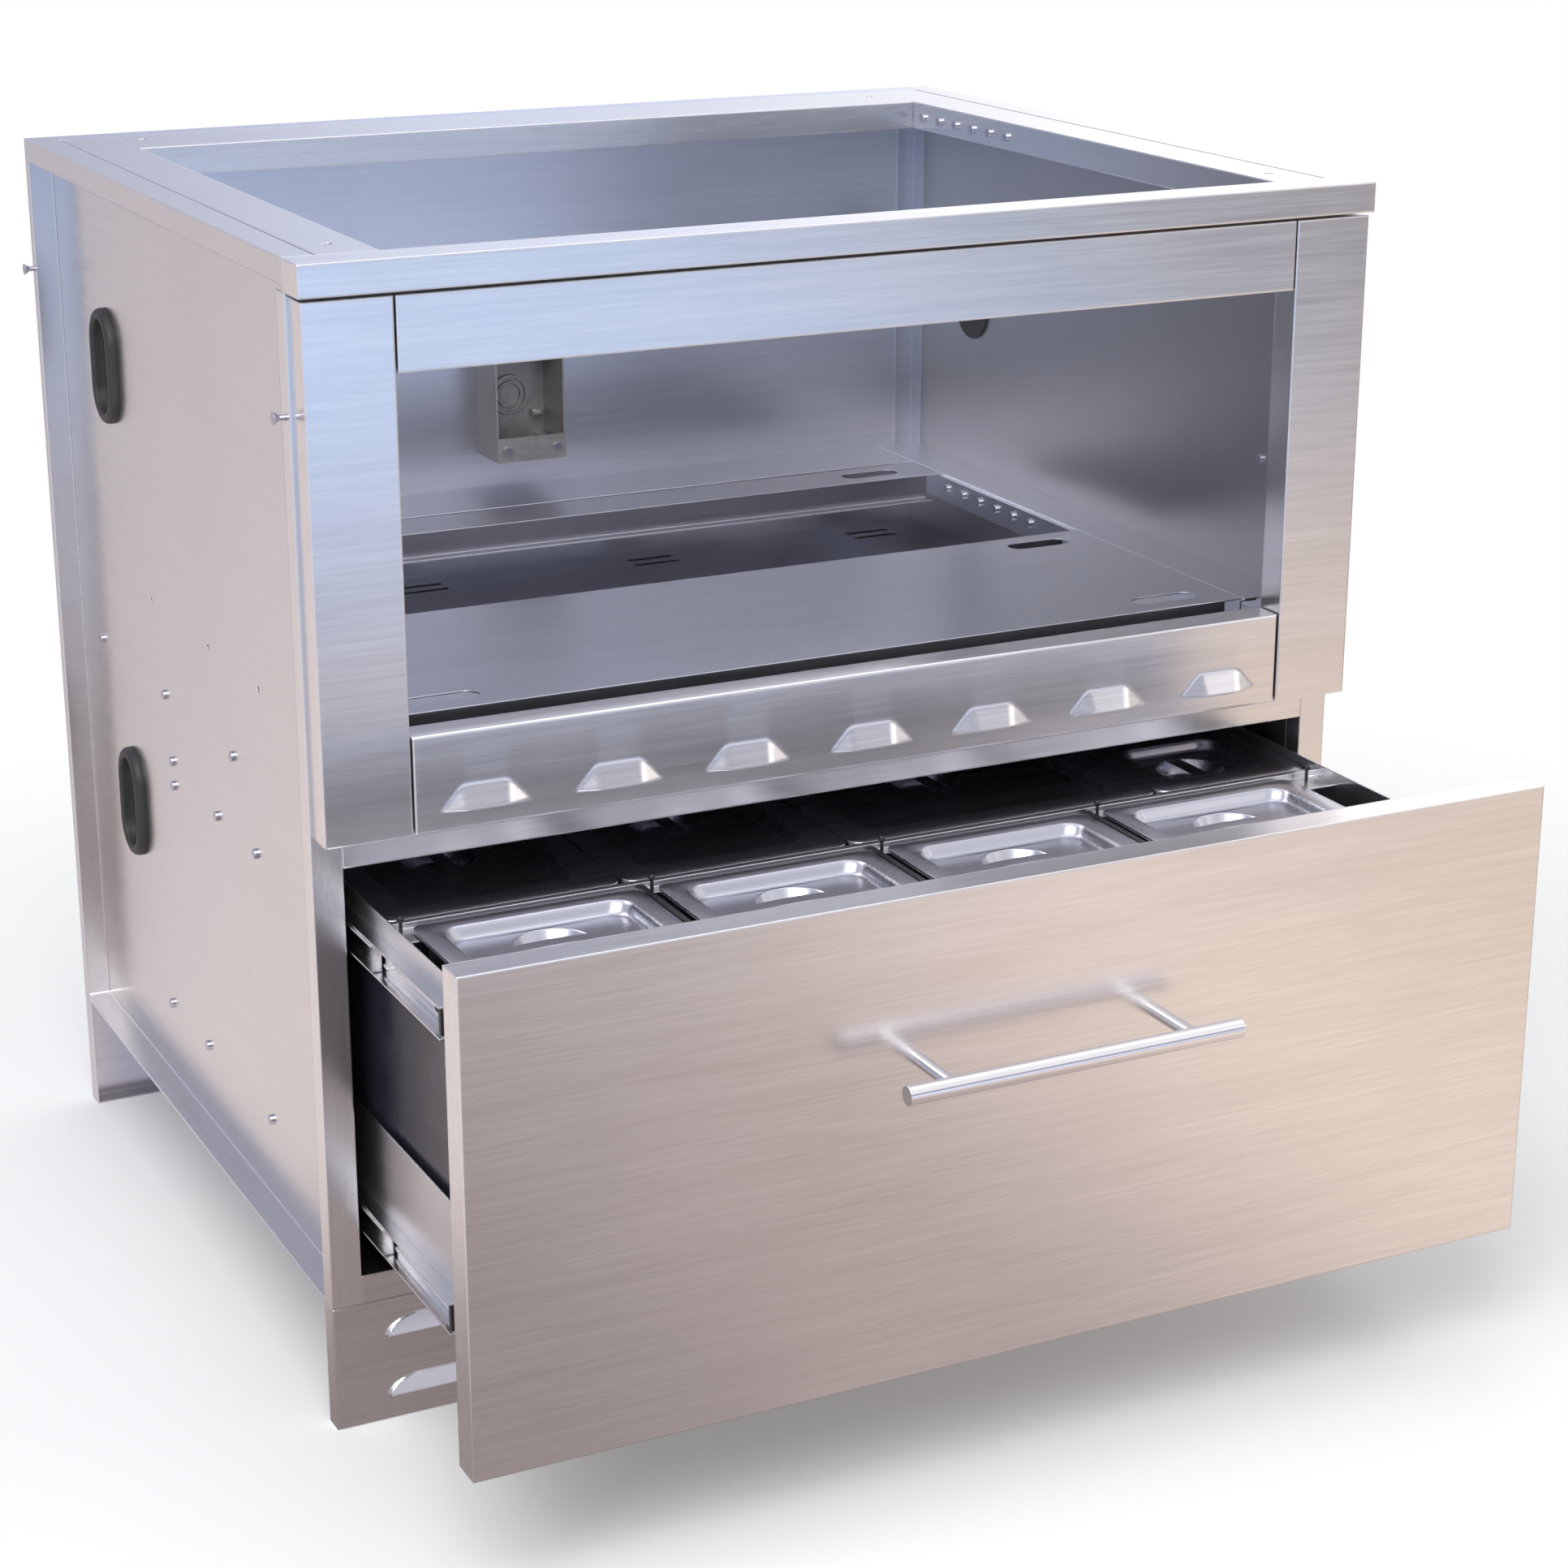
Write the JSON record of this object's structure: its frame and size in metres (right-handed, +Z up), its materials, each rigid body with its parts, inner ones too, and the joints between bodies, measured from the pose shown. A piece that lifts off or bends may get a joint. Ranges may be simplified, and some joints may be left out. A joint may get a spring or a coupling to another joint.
{
  "type": "warming drawer cabinet",
  "caption": "Brushed stainless outdoor-kitchen base cabinet with an open appliance bay above a wide warming drawer of lidded pans",
  "frame": {"origin": "on the floor, in the middle of the foot of the front plinth panel", "axes": "+Z up; the front of the cabinet faces -Y, the back faces +Y; +X is to the right seen from the front"},
  "size_m": [0.8816, 1.0246, 0.8763],
  "materials": {
    "body_steel": "brushed, fine straight grain",
    "face_steel": "brushed, grain runs left to right",
    "inner_steel": "mill finish, slightly dull",
    "pan_steel": "satin, drawn",
    "handle_steel": "polished with a fine turned grain",
    "slide_zinc": "bright zinc",
    "screw_steel": "bright turned",
    "zinc_grey": "dull galvanised grey",
    "rubber_black": "matte moulded",
    "hook_black": "matte",
    "bin_dark": "dark enamel",
    "heater_sheath": "heat-dulled sheath"
  },
  "bodies": {
    "carcass": {"side_panel_left": "body_steel", "side_panel_right": "body_steel", "front_post_left": "body_steel", "front_post_right": "body_steel", "rear_posts": "body_steel", "back_panel": "body_steel", "top_rail_front": "body_steel", "top_rail_back": "body_steel", "top_rail_left": "body_steel", "top_rail_right": "body_steel", "upper_cross_rail": "body_steel", "drawer_top_rail": "body_steel", "bottom_rail": "body_steel", "cabinet_floor": "body_steel", "toe_kick_front": "body_steel", "toe_kick_rear": "body_steel", "shelf_ledges": "body_steel", "shelf_rear_strip": "body_steel", "shelf_channel": "body_steel", "heat_shield": "body_steel", "stile_left": "face_steel", "stile_right": "face_steel", "upper_panel": "face_steel", "vent_panel": "face_steel", "junction_box": "zinc_grey", "junction_cover": "zinc_grey", "side_grommets": "rubber_black", "panel_screws": "screw_steel", "rail_screws": "screw_steel", "hang_studs": "screw_steel", "slide_cabinet_members": "slide_zinc"},
    "shelf": {"lift_out_shelf": "body_steel"},
    "slide_middles": {"slide_middle_members": "slide_zinc"},
    "drawer": {"drawer_front": "face_steel", "drawer_liner": "inner_steel", "handle_bar": "handle_steel", "handle_posts": "handle_steel", "drawer_side_left": "inner_steel", "drawer_side_right": "inner_steel", "drawer_back": "inner_steel", "drawer_floor": "inner_steel", "slide_drawer_members": "slide_zinc", "slide_bumpers": "hook_black", "pan_bars": "inner_steel", "pan_dividers": "inner_steel", "pan_hooks": "hook_black", "warm_bin": "bin_dark", "heater_element": "heater_sheath", "terminal_box": "zinc_grey", "pans_front": "pan_steel", "pans_rear": "pan_steel"},
    "lid_front_1": {"lid_front_1": "pan_steel"},
    "lid_front_2": {"lid_front_2": "pan_steel"},
    "lid_front_3": {"lid_front_3": "pan_steel"},
    "lid_front_4": {"lid_front_4": "pan_steel"},
    "lid_rear_1": {"lid_rear_1": "pan_steel"},
    "lid_rear_2": {"lid_rear_2": "pan_steel"},
    "lid_rear_3": {"lid_rear_3": "pan_steel"},
    "lid_rear_4": {"lid_rear_4": "pan_steel"},
    "lid_rear_5": {"lid_rear_5": "pan_steel"}
  },
  "joints": [
    {"name": "drawer_slide", "type": "slide", "parent": "carcass", "child": "drawer", "axis": [0, -1, 0], "range_m": [-0.2536, 0.1764]},
    {"name": "middle_slide", "type": "slide", "parent": "carcass", "child": "slide_middles", "axis": [0, -1, 0], "range_m": [-0.1268, 0.0882]},
    {"name": "shelf_lift", "type": "slide", "parent": "carcass", "child": "shelf", "axis": [0, 0, 1], "range_m": [0, 0.2]},
    {"name": "lid_front_1_lift", "type": "slide", "parent": "drawer", "child": "lid_front_1", "axis": [0, 0, 1], "range_m": [0, 0.025]},
    {"name": "lid_front_2_lift", "type": "slide", "parent": "drawer", "child": "lid_front_2", "axis": [0, 0, 1], "range_m": [0, 0.025]},
    {"name": "lid_front_3_lift", "type": "slide", "parent": "drawer", "child": "lid_front_3", "axis": [0, 0, 1], "range_m": [0, 0.025]},
    {"name": "lid_front_4_lift", "type": "slide", "parent": "drawer", "child": "lid_front_4", "axis": [0, 0, 1], "range_m": [0, 0.025]},
    {"name": "lid_rear_1_lift", "type": "slide", "parent": "drawer", "child": "lid_rear_1", "axis": [0, 0, 1], "range_m": [0, 0.025]},
    {"name": "lid_rear_2_lift", "type": "slide", "parent": "drawer", "child": "lid_rear_2", "axis": [0, 0, 1], "range_m": [0, 0.025]},
    {"name": "lid_rear_3_lift", "type": "slide", "parent": "drawer", "child": "lid_rear_3", "axis": [0, 0, 1], "range_m": [0, 0.025]},
    {"name": "lid_rear_4_lift", "type": "slide", "parent": "drawer", "child": "lid_rear_4", "axis": [0, 0, 1], "range_m": [0, 0.025]},
    {"name": "lid_rear_5_lift", "type": "slide", "parent": "drawer", "child": "lid_rear_5", "axis": [0, 0, 1], "range_m": [0, 0.025]}
  ],
  "couplings": [
    {"joint": "middle_slide", "follows": "drawer_slide", "ratio": 0.5}
  ]
}
